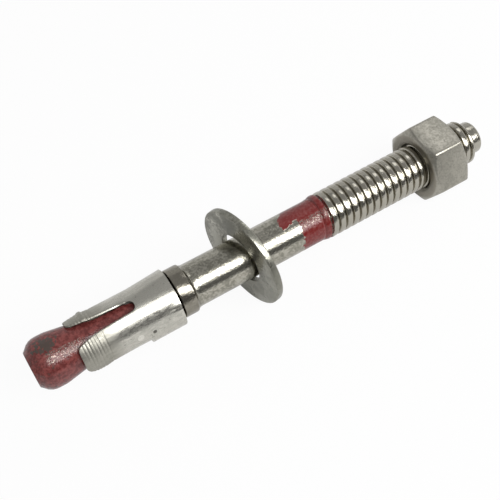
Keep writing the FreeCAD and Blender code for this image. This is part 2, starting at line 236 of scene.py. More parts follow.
# Scales of the noise, in repeats to the metre
CLOUD_SCALE = 500.0
SPECKLE_SCALE = 2600.0
SPOT_SCALE = 1900.0
DENT_SCALE = 900.0
PAINT_EDGE_SCALE = 900.0
PAINT_FILM_SCALE = 1500.0
PAINT_WEAR_SCALE = 1900.0
FLECK_SCALE = 4600.0

# Stations where the stud's finish turns from one to the next
CONE_PAINT_ENDS = (0.0268, 0.0272)
NOSE_SPECKS_END = (0.003, 0.006)
STREAK = (0.0034, 0.0095)
COLLAR = (0.0272, 0.0309)
PATCH_BEGINS = (0.0504, 0.0506)
PATCH_ENDS = (0.0556, 0.056)
BAND = (0.054, 0.0602)
THREAD_BEGINS = (0.0584, 0.0596)

# Stations where the clip's sheet is no longer pressed, and where it stands clear of the cone
PRESSED_ENDS = (0.0125, 0.0168)
CLEAR_BEGINS = (0.0095, 0.0115)
# Radii between which the clip turns from its inside, darkened with painted shade, to its outside
CLIP_SHADED_INSIDE = (0.00468, 0.00478)

# The anchor's front looks up and to one side of the stud, this much of each
FRONT_UP = 0.866
FRONT_ACROSS = 0.5


class Value:
    """A socket that can stand in an expression. Each step of the expression adds a Math node."""

    def __init__(self, finish, socket):
        self.finish = finish
        self.socket = socket

    def _maths(self, operation, *inputs, clamp=False):
        settings = {"operation": operation, "use_clamp": clamp}
        return self.finish.node("ShaderNodeMath", settings, dict(enumerate(inputs)))

    def __add__(self, other):
        return self._maths("ADD", self, other)

    __radd__ = __add__

    def __sub__(self, other):
        return self._maths("SUBTRACT", self, other)

    def __rsub__(self, other):
        return self._maths("SUBTRACT", other, self)

    def __mul__(self, other):
        return self._maths("MULTIPLY", self, other)

    __rmul__ = __mul__

    def __truediv__(self, other):
        return self._maths("DIVIDE", self, other)

    def power(self, exponent):
        return self._maths("POWER", self, exponent)

    def clamped(self):
        return self._maths("ADD", self, 0.0, clamp=True)

    def above(self, low, high):
        """0 below low and 1 above high, with a smooth rise between them."""
        settings = {"interpolation_type": "SMOOTHSTEP", "clamp": True}
        return self.finish.node("ShaderNodeMapRange", settings, {0: self, 1: low, 2: high})

    def between(self, low, high, soft):
        """1 between low and high, with a smooth rise and fall outside them."""
        return self.above(low - soft, low) * (1.0 - self.above(high, high + soft))


class Finish:
    """The nodes of a material or a world under construction."""

    def __init__(self, owner):
        owner.use_nodes = True
        self.owner = owner
        self.tree = owner.node_tree

    def node(self, kind, settings=None, inputs=None, output=0):
        """Adds a node, sets it up, joins its inputs and gives back one of its outputs."""
        new = self.tree.nodes.new(kind)
        for name, value in (settings or {}).items():
            setattr(new, name, value)
        for name, value in (inputs or {}).items():
            self.join(new.inputs[name], value)
        return Value(self, new.outputs[output])

    def join(self, socket, value):
        """Links a value to a socket, or sets a number or a colour on it."""
        if isinstance(value, Value):
            self.tree.links.new(value.socket, socket)
        elif socket.type == "RGBA":
            socket.default_value = (*value, 1.0)
        else:
            socket.default_value = value

    def axes(self, vector):
        """The X, Y and Z of a vector."""
        kind = "ShaderNodeSeparateXYZ"
        return [self.node(kind, None, {"Vector": vector}, output=axis) for axis in "XYZ"]

    def on_stud(self):
        """Coordinates with X along the stud from its cone end, Y across and Z square to both."""
        place = self.node("ShaderNodeTexCoord", output="Object")
        return self.node(
            "ShaderNodeMapping", {"vector_type": "TEXTURE"},
            {"Vector": place, "Location": LIE.translation, "Rotation": LIE.to_euler()},
        )

    def mottle(self, place, scale, detail=3.0, rough=0.55, twist=0.0):
        """Soft noise from 0 to 1."""
        return self.node(
            "ShaderNodeTexNoise", None,
            {"Vector": place, "Scale": scale, "Detail": detail, "Roughness": rough,
             "Distortion": twist},
        )

    def mix(self, factor, first, second):
        """A colour that turns from the first to the second as the factor rises."""
        settings = {"data_type": "RGBA", "clamp_factor": True}
        return self.node("ShaderNodeMix", settings, {0: factor, 6: first, 7: second}, output=2)

    def bump(self, height, depth, under=None):
        """A normal bent by a height, which depth turns into metres, on top of the one under it."""
        inputs = {"Height": height, "Distance": depth, "Strength": 1.0}
        if under:
            inputs["Normal"] = under
        return self.node("ShaderNodeBump", None, inputs)

    def wear(self, **inputs):
        """Joins the shader's sockets, each named in small letters, and gives back the material."""
        shader = self.tree.nodes["Principled BSDF"]
        for name, value in inputs.items():
            self.join(shader.inputs[name.replace("_", " ").title()], value)
        return self.owner


def split(finish, place):
    """Station along the stud, height across the anchor's front, and distance out to its front."""
    along, across, up = finish.axes(place)
    return along, up * FRONT_ACROSS + across * FRONT_UP, up * FRONT_UP - across * FRONT_ACROSS


def from_axis(high, near):
    """Distance from the stud's axis."""
    return (high * high + near * near).power(0.5)


def spot(along, high, near, middle, reach):
    """1 inside an oval mark on the anchor's front."""
    from_middle = (along - middle[0]) / reach[0]
    from_height = (high - middle[1]) / reach[1]
    inside = 1.0 - (from_middle * from_middle + from_height * from_height)
    return inside.above(0.0, 0.4) * near.above(0.0, 0.0005)


def steel_finish(
    name, light, dark, grain, rough, bumps, dents=0.0, clouds=CLOUD_SCALE, patchy=0.35
):
    """Steel with fine speckle stretched by grain, soft clouds, dark spots and shallow dents."""
    finish = Finish(bpy.data.materials.new(name))
    place = finish.on_stud()
    drawn = finish.node("ShaderNodeVectorMath", {"operation": "MULTIPLY"}, {0: place, 1: grain})
    cloud = finish.mottle(place, clouds)
    speckle = finish.mottle(drawn, SPECKLE_SCALE, rough=0.6)
    tone = (cloud * patchy + speckle * (1.0 - patchy)).above(0.4, 0.6)
    base = finish.mix(tone, dark, light)
    spots = finish.mottle(place, SPOT_SCALE, detail=2.0).above(0.64, 0.72)
    spot_colour = tuple(part * 0.35 for part in dark)
    base = finish.mix(spots * 0.45, base, spot_colour)
    height = speckle * bumps[0] + cloud * bumps[1]
    if dents:
        pits = finish.mottle(place, DENT_SCALE, detail=2.0, twist=0.6).above(0.5, 0.62)
        height = height - pits * dents
    normal = finish.bump(height, 1.0)
    bright, dull = rough
    roughness = bright + (dull - bright) * (1.0 - tone)
    return finish, place, base, roughness, normal


def painted_band(along, high, near, ragged):
    """1 in the red band before the thread, and in the patch that runs on from it."""
    edge = (ragged - 0.5) * 0.0026
    band_lean = 0.08
    band = (along + edge - high * band_lean).between(*BAND, 0.00015)
    patch_middle = 0.0019
    from_middle = (high - patch_middle) * 600.0
    patch_end = along + edge - from_middle * from_middle * 0.0012
    patch_side = high - edge * 0.5 - (along - PATCH_BEGINS[1]) * 0.3
    patch = patch_end.above(*PATCH_BEGINS) * (1.0 - along.above(*PATCH_ENDS))
    patch = patch * patch_side.above(0.0006, 0.0008) * near.above(-0.001, 0.0)
    return band + patch


def worn_nose(along, high, near, worn):
    """1 where the cone's nose shows dark metal, in one ragged place and in specks."""
    middle = (0.0038, 0.0027)
    from_nose = (along - middle[0]) * 420.0
    from_top = (high - middle[1]) * 640.0
    nose = 1.1 - (from_nose * from_nose + from_top * from_top) + (worn - 0.5) * 4.0
    nose = nose.above(0.3, 0.6) * near.above(0.0, 0.001)
    specks = worn.above(0.61, 0.66) * (1.0 - along.above(*NOSE_SPECKS_END)) * 0.8
    return (nose + specks).clamped()


def rubbed_flecks(finish, place, along, high, near, cone):
    """1 in fine flecks where the paint is rubbed through, along the middle of the front."""
    flecks = finish.mottle(place, FLECK_SCALE, detail=2.0).above(0.52, 0.58)
    ridge = ((near + high * 0.06) / from_axis(high, near)).above(0.972, 0.991)
    on_cone = cone * along.between(*STREAK, 0.0008) * 0.5
    on_band = (1.0 - cone) * 0.65
    return flecks * ridge * (on_cone + on_band)


def stud_finish(colours):
    """Bare steel with red marking paint on the cone, its neck and a band before the thread."""
    finish, place, steel, rough, normal = steel_finish(
        "stud_steel", colours.steel, colours.steel_dark,
        grain=(0.8, 1.0, 1.0), rough=(0.12, 0.22), bumps=(0.000034, 0.000004),
    )
    along, high, near = split(finish, place)
    threaded = along.above(*THREAD_BEGINS)
    collar = along.between(*COLLAR, 0.0003)
    steel = finish.mix(threaded, steel, colours.thread)
    steel = finish.mix(collar * 0.75, steel, colours.collar)
    rough = rough * (1.0 - threaded * 0.3)
    ragged = finish.mottle(place, PAINT_EDGE_SCALE, detail=4.0, rough=0.7)
    worn = finish.mottle(place, PAINT_WEAR_SCALE)
    cone = 1.0 - along.above(*CONE_PAINT_ENDS)
    painted = (cone + painted_band(along, high, near, ragged)).clamped()
    thick = finish.mottle(place, PAINT_FILM_SCALE, detail=4.0, rough=0.65).above(0.38, 0.62)
    paint = finish.mix(thick, colours.paint_thin, colours.paint)
    paint = finish.mix((1.0 - cone) * (0.45 + 0.4 * thick), paint, colours.paint_bright)
    paint = finish.mix(worn_nose(along, high, near, worn) * cone, paint, colours.scale)
    cover = painted * (1.0 - rubbed_flecks(finish, place, along, high, near, cone))
    base = finish.mix(cover, steel, paint)
    metal = 1.0 - cover
    roughness = rough * metal + (0.1 + 0.12 * worn) * cover
    film = (ragged * 0.4 + worn * 0.6) * cover
    normal = finish.bump(film, 0.00009, under=normal)
    return finish.wear(base_color=base, metallic=metal, roughness=roughness, normal=normal)


def clip_finish(colours):
    """Rolled sheet with painted shade on its inside and sheared edges, partly their own dull dark,
    and duller where its tips are pressed.
    """
    finish, place, base, rough, normal = steel_finish(
        "clip_steel", colours.sheet, colours.sheet_dark,
        grain=(0.3, 1.0, 1.0), rough=(0.2, 0.32), bumps=(0.000008, 0.00001),
    )
    along, high, near = split(finish, place)
    # Painted shade: the inside of the sheet and the inner part of its cut edges turn near black,
    # only partly the sheared metal's own dull dark
    clear_of_cone = along.above(*CLEAR_BEGINS) * 0.00004
    inside = 1.0 - (from_axis(high, near) - clear_of_cone).above(*CLIP_SHADED_INSIDE)
    base = finish.mix(inside * 0.9, base, colours.sheared)
    pressed = 1.0 - along.above(*PRESSED_ENDS)
    base = finish.mix(pressed * 0.6, base, colours.steel_dark)
    rough = rough + inside * 0.25 + pressed * 0.2
    pit = spot(along, high, near, middle=(0.02135, -0.00418), reach=(0.0004, 0.0003))
    base = finish.mix(pit * 0.8, base, colours.sheared)
    rubbed = spot(along, high, near, middle=(0.0187, -0.004), reach=(0.0007, 0.0005))
    base = finish.mix(rubbed * 0.5, base, colours.rubbed)
    return finish.wear(base_color=base, metallic=1.0, roughness=rough, normal=normal)


def washer_finish(colours):
    """Dull plating with shallow dents, and painted shade darkening the lower half of the ring."""
    finish, place, base, rough, normal = steel_finish(
        "washer_steel", colours.zinc, colours.zinc_dark_and_shade, grain=(1.0, 1.0, 1.0), rough=(0.22, 0.36),
        bumps=(0.000005, 0.00001), dents=0.00001, clouds=230.0, patchy=0.7,
    )
    _, high, _ = split(finish, place)
    # Painted shade: the lower half of the ring is darkened towards the dark zinc
    shaded_lower_half = 1.0 - high.above(-0.005, 0.003)
    base = finish.mix(shaded_lower_half * 0.65, base, colours.zinc_dark_and_shade)
    return finish.wear(base_color=base, metallic=1.0, roughness=rough, normal=normal)


def nut_finish(colours):
    """Dull plating with shallow dents, and painted shade darkening the face towards the washer."""
    finish, place, base, rough, normal = steel_finish(
        "nut_steel", colours.nut, colours.nut_dark, grain=(1.0, 1.0, 1.0), rough=(0.32, 0.4),
        bumps=(0.000005, 0.000004), dents=0.000007,
    )
    along, _, _ = split(finish, place)
    # Painted shade: the face towards the washer is darkened with the collar's dull steel
    front = 1.0 - along.above(NUT_STATION + 0.00005, NUT_STATION + 0.0002)
    base = finish.mix(front * 0.85, base, colours.collar)
    return finish.wear(base_color=base, metallic=1.0, roughness=rough, normal=normal)


# Modelling

def to_points():
    bpy.ops.object.mode_set(mode="EDIT")


def to_objects():
    bpy.ops.object.mode_set(mode="OBJECT")


def edit_all(piece):
    """Opens a piece in edit mode, with all of it selected."""
    bpy.context.view_layer.objects.active = piece
    to_points()
    bpy.ops.mesh.select_all(action="SELECT")


def choose(piece, *others):
    """Selects pieces, and nothing else, with the first one active."""
    bpy.ops.object.select_all(action="DESELECT")
    for chosen in (piece, *others):
        chosen.select_set(True)
    bpy.context.view_layer.objects.active = piece


def new_object(name, add, **settings):
    """Adds one primitive, the only thing selected, and leaves it in edit mode."""
    bpy.ops.object.select_all(action="DESELECT")
    add(**settings)
    piece = bpy.context.object
    piece.name = name
    piece.data.name = name
    bpy.ops.object.transform_apply(location=True, rotation=True, scale=True)
    to_points()
    return piece


def ring(name, radius, station):
    """An open circle about the stud's axis."""
    return new_object(
        name, bpy.ops.mesh.primitive_circle_add, vertices=AROUND, radius=radius,
        location=(station, 0.0, 0.0), rotation=(0.0, math.pi / 2, 0.0),
    )


def about_axis(station, radius, turn):
    """A place at a radius and a turn about the stud's axis."""
    return station, radius * math.cos(turn), radius * math.sin(turn)


def shaped_grid(name, steps_x, steps_y, place):
    """A grid whose points go where place puts their steps in X and in Y."""
    sheet = new_object(
        name, bpy.ops.mesh.primitive_grid_add, x_subdivisions=steps_x, y_subdivisions=steps_y,
        size=1.0,
    )
    to_objects()
    for point in sheet.data.vertices:
        point.co = place(round((point.co.x + 0.5) * steps_x), round((point.co.y + 0.5) * steps_y))
    return sheet


def extrude_rings(profile):
    """Draws the open circle on through (station, radius) places, as on a lathe."""
    for (station, radius), (next_station, next_radius) in zip(profile, profile[1:]):
        step = {"value": (next_station - station, 0.0, 0.0), "orient_type": "GLOBAL"}
        bpy.ops.mesh.extrude_edges_move(TRANSFORM_OT_translate=step)
        grow = next_radius / radius
        bpy.ops.transform.resize(value=(1.0, grow, grow), center_override=(next_station, 0.0, 0.0))


def close_end(station, radius):
    """Closes the last circle with a flat ring and a face inside the ring."""
    extrude_rings([(station, radius), (station, radius * 0.5)])
    bpy.ops.mesh.edge_face_add()


def select_points(piece, wanted):
    """Selects the points whose place is wanted, and stays in edit mode."""
    to_points()
    bpy.ops.mesh.select_mode(type="VERT")
    bpy.ops.mesh.select_all(action="DESELECT")
    to_objects()
    for point in piece.data.vertices:
        point.select = wanted(point.co)
    to_points()


def apply(piece, kind, **settings):
    """Adds a modifier, sets it up and applies it."""
    modifier = piece.modifiers.new(kind.title(), kind)
    for name, value in settings.items():
        setattr(modifier, name, value)
    bpy.context.view_layer.objects.active = piece
    bpy.ops.object.modifier_apply(modifier=modifier.name)


def clean(piece, distance=CLEAN_DISTANCE):
    """Merges double points and turns the faces outwards."""
    edit_all(piece)
    bpy.ops.mesh.remove_doubles(threshold=distance)
    bpy.ops.mesh.normals_make_consistent(inside=False)
    to_objects()


def settle(piece, sharp, place):
    """Lays a piece in its place, its object at the origin, and smooths all but its sharp edges."""
    choose(piece)
    piece.matrix_world = place
    bpy.ops.object.transform_apply(location=True, rotation=True, scale=True)
    bpy.ops.object.shade_smooth_by_angle(angle=math.radians(sharp))


def dress(piece, finish, body, node):
    """Gives a piece its finish and the body it moves with, and hides the imported solid it stands
    for.
    """
    piece.data.materials.clear()
    piece.data.materials.append(finish(bpy.context.scene.anchor_colours))
    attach(piece, body)
    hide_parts(node)


def smooth_step(value, low, high):
    """0 below low and 1 above high, with a smooth rise between them."""
    share_up = min(max((value - low) / (high - low), 0.0), 1.0)
    return share_up * share_up * (3.0 - 2.0 * share_up)


def evenly(first, last, steps):
    """Places between two others, evenly apart and without the two."""
    return [first + (last - first) * step / steps for step in range(1, steps)]


def arc_places(start, end, bulge_steps=4):
    """Places on a rounded corner between two (station, radius) places, bulging outwards."""
    places = []
    for step in range(1, bulge_steps):
        turn = math.pi / 2 * step / bulge_steps
        slow, fast = 1 - math.cos(turn), math.sin(turn)
        along, up = (slow, fast) if end[1] > start[1] else (fast, slow)
        places.append((start[0] + (end[0] - start[0]) * along, start[1] + (end[1] - start[1]) * up))
    return [start, *places, end]


# Stud

# The nose's round: shares of its length and of its rise
NOSE_ROUND = ((0.38, 0.56), (0.66, 0.84), (0.9, 0.96))
# The collar's fillet: shares of the shoulder past the collar's end, and of the edge over the shank
COLLAR_FILLET = ((-0.45, 2.0), (-0.2, 1.0), (0.1, 0.4), (0.45, 0.1), (0.7, 0.0))
# The thread's form: shares of the pitch and of the height, from the root to the crest
THREAD_FORM = (
    (0.0, 0.0), (0.04, 0.02), (0.08, 0.17), (0.15, 0.74), (0.2, 0.92), (0.28, 0.98), (0.5, 1.0),
)
# Columns of points across one pitch of the thread
THREAD_COLUMNS = (
    0.0, 0.04, 0.08, 0.115, 0.15, 0.2, 0.28, 0.38, 0.5,
    0.62, 0.72, 0.8, 0.85, 0.885, 0.92, 0.96, 1.0,
)
# Gap between the shank and the thread, which is bridged
THREAD_GAP = 0.0002
# Least radius of the sheet past the thread's end, where it is cut off
THREAD_CORE = 0.002


def turned_profile(size, thread):
    """The lathe profile from the cone's face to where the thread begins."""
    edge = size.edge
    nose_rise = size.cone - size.cone_face
    land_end = size.cone_nose + size.cone_land
    collar_end = size.collar_start + size.collar_width
    return [
        (0.0, size.cone_face - edge),
        (edge * 0.5, size.cone_face - edge * 0.1),
        (edge * 2.0, size.cone_face + edge),
        *((size.cone_nose * out, size.cone_face + nose_rise * up) for out, up in NOSE_ROUND),
        (size.cone_nose * 1.15, size.cone),
        (land_end - 2 * edge, size.cone),
        (land_end + 2 * edge, size.cone - edge / 3),
        (size.cone_end - 4 * edge, size.neck + edge / 2),
        (size.cone_end + 4 * edge, size.neck),
        (size.collar_start - edge, size.neck),
        (size.collar_start, size.neck + edge),
        *arc_places(
            (size.collar_start, size.collar - 2 * edge),
            (size.collar_start + 2 * edge, size.collar),
        ),
        (collar_end - size.shoulder, size.collar),
        (collar_end - size.shoulder * 0.72, size.collar - edge * 0.5),
        *((collar_end + size.shoulder * out, size.shank + edge * up) for out, up in COLLAR_FILLET),
        (thread.start, size.shank),
    ]


def thread_rise(turn_share):
    """The thread's height at a share of one pitch, from 0 in the root to 1 on the crest."""
    near = min(turn_share, 1.0 - turn_share)
    for (first, low), (last, high) in zip(THREAD_FORM, THREAD_FORM[1:]):
        if near <= last:
            return low + (high - low) * (near - first) / (last - first)
    return 1.0


def make_thread(size, thread):
    """A helical sheet one pitch wide, wound until it covers the threaded stretch."""
    fade_start = thread.start + 0.0003
    turns = math.ceil((thread.end - thread.start) / thread.pitch) + 2

    def place(column, row):
        across = THREAD_COLUMNS[column]
        wound = row / AROUND
        station = thread.start + thread.pitch * (across + wound - 1.0)
        radius = thread.root + (thread.crest - thread.root) * thread_rise(across)
        fade = smooth_step(station, fade_start, thread.full)
        radius = size.shank + (radius - size.shank) * fade
        end_slope = thread.root + thread.end - station + 0.00001
        radius = max(min(radius, end_slope), THREAD_CORE)
        return about_axis(station, radius, thread.turn - 2 * math.pi * wound)

    sheet = shaped_grid("thread", len(THREAD_COLUMNS) - 1, turns * AROUND, place)
    clean(sheet)
    for station, side in ((thread.start + THREAD_GAP, 1.0), (thread.end, -1.0)):
        edit_all(sheet)
        bpy.ops.mesh.bisect(
            plane_co=(station, 0.0, 0.0), plane_no=(side, 0.0, 0.0), clear_inner=True,
            threshold=FINE,
        )
        to_objects()
    return sheet


def bridge_at(piece, first, last):
    """Joins the open edges at two stations."""
    to_points()
    bpy.ops.mesh.select_mode(type="EDGE")
    bpy.ops.mesh.select_all(action="DESELECT")
    bpy.ops.mesh.select_non_manifold(
        use_wire=False, use_multi_face=False, use_non_contiguous=False, use_verts=False
    )
    to_objects()
    for edge in piece.data.edges:
        places = [piece.data.vertices[end].co.x for end in edge.vertices]
        near = [min(abs(place - first), abs(place - last)) < 2 * FINE for place in places]
        edge.select = edge.select and all(near)
    to_points()
    bpy.ops.mesh.bridge_edge_loops()
    to_objects()


class AddStud(bpy.types.Operator):
    """Adds the stud: cone, neck, collar, shank, thread and driving point in one piece"""

    bl_idname = "anchor.add_stud"
    bl_label = "Stud"

    def execute(self, context):
        size = context.scene.anchor_stud
        thread = context.scene.anchor_thread
        profile = turned_profile(size, thread)
        stud = ring("stud_turned", profile[0][1], profile[0][0])
        bpy.ops.mesh.edge_face_add()
        bpy.ops.mesh.inset(thickness=size.cone_face * 0.3)
        select_points(stud, lambda point: math.hypot(point.y, point.z) > profile[0][1] * 0.99)
        extrude_rings(profile)
        to_objects()
        sheet = make_thread(size, thread)
        groove = size.point + size.edge
        point = ring("point", groove, thread.end + size.edge)
        extrude_rings([
            (thread.end + size.edge, groove),
            (thread.end + 2 * size.edge, size.point),
            *arc_places(
                (size.overall_length - size.point_edge, size.point),
                (size.overall_length, size.point - size.point_edge),
            ),
        ])
        close_end(size.overall_length, size.point - size.point_edge)
        to_objects()
        choose(stud, sheet, point)
        bpy.ops.object.join()
        bridge_at(stud, thread.start, thread.start + THREAD_GAP)
        bridge_at(stud, thread.end, thread.end + size.edge)
        clean(stud)
        settle(stud, sharp=32.0, place=LIE)
        dress(stud, stud_finish, "stud", "stud")
        return {"FINISHED"}


# Clip

# The slots are numbered from the seam's, and the last one before it is flared
FLARED_SLOT = -1
# Length over which the raised land rises
LAND_RISE = 0.0002
# Height of the short fold, and depth of the crease beside it
FOLD_HEIGHT = 0.00012
# How unevenly the grooves across the tips run
RIB_UNEVEN = 0.35
# Turn from the seam to the lowest tongue
LOWEST_TONGUE = math.radians(-60.0)


def slot_half(size, station, flared):
    """Half the width of a slot at a distance from the tips, without a slot past its closed end."""
    centre = size.slot_length - size.slot_end
    if station >= size.slot_length:
        return 0.0
    if station > centre:
        return math.sqrt(max(size.slot_end ** 2 - (station - centre) ** 2, 0.0))
    half = size.slot_mouth + (size.slot_end - size.slot_mouth) * station / centre
    corner = size.flared_corner if flared else size.slot_corner
    if flared:
        half += size.flare * max(1.0 - station / size.flare_length, 0.0) ** 2
    if station < corner:
        left = corner - station
        half += corner - math.sqrt(max(corner ** 2 - left ** 2, 0.0))
    return half


def clip_rows(size):
    """Distances from the tips of the clip's rows of points, closest where its outline bends."""
    corner_steps = 7
    rib_steps = 6
    slot_centre = size.slot_length - size.slot_end
    land_start = size.clip_length - size.land_length
    rib_end = size.rib_start + size.ribs * size.rib_pitch
    rows = {
        0.0, size.edge * 0.3, size.edge, size.slot_corner, slot_centre, size.slot_length,
        land_start, land_start + LAND_RISE / 2, land_start + LAND_RISE,
        size.clip_length - size.edge, size.clip_length - size.edge * 0.3, size.clip_length,
        *evenly(rib_end, slot_centre, 12), *evenly(size.slot_length, size.clip_length, 14),
    }
    for step in range(1, corner_steps):
        turn = math.pi / 2 * step / corner_steps
        rows.add(size.slot_corner * (1 - math.cos(turn)))
        rows.add(slot_centre + size.slot_end * math.sin(turn))
    for step in range(size.ribs * rib_steps + 1):
        rows.add(size.rib_start - size.rib_width + size.rib_pitch * step / rib_steps)
    kept = []
    for row in sorted(row for row in rows if row >= 0.0):
        if not kept or row - kept[-1] > 0.00001:
            kept.append(row)
    kept[-1] = size.clip_length
    return kept


def tongue_radius(size, station):
    """The tongues' outside radius, which swells to a bump and settles to the plain sheet."""
    if station < size.crown_place:
        share_up = math.sin(math.pi / 2 * station / size.crown_place)
        return size.tip_outer + (size.crown - size.tip_outer) * share_up
    share_up = smooth_step(station, size.crown_place, size.crown_end)
    return size.crown + (size.outer - size.crown) * share_up


def rib_groove(size, station, turn):
    """Depth of the grooves across the tips, which run a little uneven."""
    place = (station - size.rib_start) / size.rib_pitch
    nearest = min(max(round(place), 0), size.ribs - 1)
    away = abs(place - nearest) * size.rib_pitch
    uneven = 1.0 - RIB_UNEVEN + RIB_UNEVEN * math.sin(2.1 * nearest + 1.5 * turn)
    return size.rib_depth * uneven * (1.0 - smooth_step(away, 0.0, size.rib_width))


def land_and_lip(size, station, turn):
    """Height of the raised land at the seam, and of the sprung lip across from it."""
    land_start = size.clip_length - size.land_length
    seam_away = abs(turn)
    back_away = math.pi - seam_away
    land = smooth_step(station, land_start, land_start + LAND_RISE)
    land *= 1.0 - smooth_step(seam_away, size.land_angle * 0.55, size.land_angle * 1.25)
    lip = max(station - land_start, 0.0) / size.land_length
    lip *= 1.0 - smooth_step(back_away, size.lip_angle * 0.5, size.lip_angle * 1.1)
    return size.land_height * land + size.lip_height * lip


def nub(size, station, turn):
    """Height of the small nub on the back tongue."""
    back_away = math.pi - abs(turn)
    along = 1.0 - smooth_step(abs(station - size.nub_place), 0.0, size.nub_reach)
    across = 1.0 - smooth_step(back_away, math.radians(15.0), math.radians(48.0))
    return size.nub_height * along * across


def fold(size, station, turn):
    """Height of the short fold near the collar end, less the crease beside it."""
    near_end = smooth_step(station, size.clip_length - 0.0024, size.clip_length - 0.0008)
    from_fold = (turn - size.fold_turn) * size.outer
    ramp = smooth_step(from_fold, -0.0013, -0.0002)
    ramp *= 1.0 - smooth_step(from_fold, -0.0001, 0.0001)
    crease = 1.0 - smooth_step(abs(from_fold - 0.00015), 0.0, 0.00025)
    return FOLD_HEIGHT * (ramp - crease) * near_end


def splay(size, station, turn):
    """How far the lowest tongue stands out towards its tip."""
    from_lowest = abs(turn - LOWEST_TONGUE)
    near_lowest = 1.0 - smooth_step(from_lowest, math.radians(50.0), math.radians(60.0))
    out = max(1.0 - station / size.slot_length, 0.0) ** 1.5
    return size.splay * near_lowest * out


def clip_radius(size, station, turn):
    """The clip's outside radius. turn is measured from the seam's slot, from -pi to pi."""
    radius = tongue_radius(size, station) - rib_groove(size, station, turn)
    return radius + sum(form(size, station, turn) for form in (land_and_lip, nub, fold, splay))


def edge_drop(size, station, turn):
    """How far the outside falls away at cut edges: rounded, but sloped on one side of a slot."""
    centre = size.slot_length - size.slot_end
    sector = 2 * math.pi / size.slots
    offset = ((turn + sector / 2) % sector - sector / 2) * size.outer
    away = min(station, 2.0 * (size.clip_length - station))
    sheared = size.sheared_width
    if station < centre:
        flared = round(turn / sector) == FLARED_SLOT
        from_cut = abs(offset) - slot_half(size, station, flared)
        if offset < 0.0:
            sheared = from_cut
        else:
            away = min(away, from_cut)
    else:
        away = min(away, math.hypot(station - centre, offset) - size.slot_end)
        if abs(turn) < sector / 2:
            away = min(away, abs(offset) - size.seam)
    left = 1.0 - min(max(away / size.edge, 0.0), 1.0)
    rounded = size.edge * (1.0 - math.sqrt(1.0 - left ** 2))
    fade = 1.0 - smooth_step(station, centre - 0.0015, centre)
    slope = fade * size.sheared_depth * max(1.0 - max(sheared, 0.0) / size.sheared_width, 0.0)
    return max(rounded, slope)


def tongue_columns(size, width):
    """Places across a tongue, with some close to each cut edge."""
    near = (0.0, size.edge * 0.3, size.edge)
    far = (size.sheared_width, size.sheared_width * 0.5, size.edge * 0.3, 0.0)
    middle = evenly(size.edge, width - size.sheared_width, 52)
    return [*near, *middle, *(width - place for place in far)]


class AddClip(bpy.types.Operator):
    """Adds the expansion clip, rolled from a flat sheet with three slots"""

    bl_idname = "anchor.add_clip"
    bl_label = "Expansion clip"

    def roll_tongue(self, size, rows, number):
        """Rolls one third of the sheet, from the middle of one slot to the middle of the next."""
        sector = 2 * math.pi / size.slots
        flared_slot = size.slots + FLARED_SLOT
        columns = len(tongue_columns(size, sector))

        def place(row, column):
            station = rows[row]
            before = slot_half(size, station, number == flared_slot)
            after = slot_half(size, station, number + 1 == flared_slot)
            first = number * sector * size.outer + before
            last = (number + 1) * sector * size.outer - after
            past_slots = station >= size.slot_length - size.slot_end
            if past_slots and number == 0:
                first = max(first, size.seam)
            if past_slots and number == size.slots - 1:
                last = min(last, 2 * math.pi * size.outer - size.seam)
            turn = (first + tongue_columns(size, last - first)[column]) / size.outer
            from_seam = (turn + math.pi) % (2 * math.pi) - math.pi
            radius = clip_radius(size, station, from_seam) - edge_drop(size, station, from_seam)
            return about_axis(size.start + station, radius, size.first_slot + turn)

        return shaped_grid("tongue", len(rows) - 1, columns - 1, place)

    def execute(self, context):
        size = context.scene.anchor_clip
        rows = clip_rows(size)
        tongues = [self.roll_tongue(size, rows, number) for number in range(size.slots)]
        choose(*tongues)
        bpy.ops.object.join()
        clip = tongues[0]
        clip.name = "expansion_clip_rolled"
        clean(clip)
        group = clip.vertex_groups.new(name="thickness")
        thin = size.tip_sheet / size.sheet
        for point in clip.data.vertices:
            station = point.co.x - size.start
            full = smooth_step(station, 0.0, size.crown_end)
            group.add([point.index], thin + (1.0 - thin) * full, "REPLACE")
        apply(
            clip, "SOLIDIFY", thickness=size.sheet, offset=-1.0, vertex_group="thickness",
            use_even_offset=False,
        )
        clip.vertex_groups.clear()
        clean(clip, FINE)
        settle(clip, sharp=40.0, place=LIE @ Matrix.Translation(size.slack))
        dress(clip, clip_finish, "clip", "expansion_clip")
        return {"FINISHED"}


# Washer

class AddWasher(bpy.types.Operator):
    """Adds the flat washer"""

    bl_idname = "anchor.add_washer"
    bl_label = "Washer"

    def execute(self, context):
        size = context.scene.anchor_washer
        half = size.thickness / 2
        face_middle = size.outer * 0.75
        washer = ring("washer_ring", size.hole, -half)
        extrude_rings([
            (-half, size.hole), (-half, face_middle), (-half, size.outer),
            (half, size.outer), (half, face_middle), (half, size.hole), (-half, size.hole),
        ])
        to_objects()
        clean(washer)
        apply(
            washer, "BEVEL", width=size.edge, segments=3, limit_method="ANGLE",
            angle_limit=math.radians(40.0),
        )
        place = LIE @ Matrix.Translation((size.station, 0.0, size.hang))
        place = place @ Matrix.Rotation(size.yaw, 4, "Z")
        settle(washer, sharp=40.0, place=place)
        dress(washer, washer_finish, "washer", "washer")
        return {"FINISHED"}


# Nut

def hexagon_reach(turn, flats):
    """How far a hexagon with a corner at turn 0 reaches at an angle round its middle."""
    sector = math.pi / 3
    from_flat = (turn % sector) - sector / 2
    return flats / 2 / math.cos(from_flat)


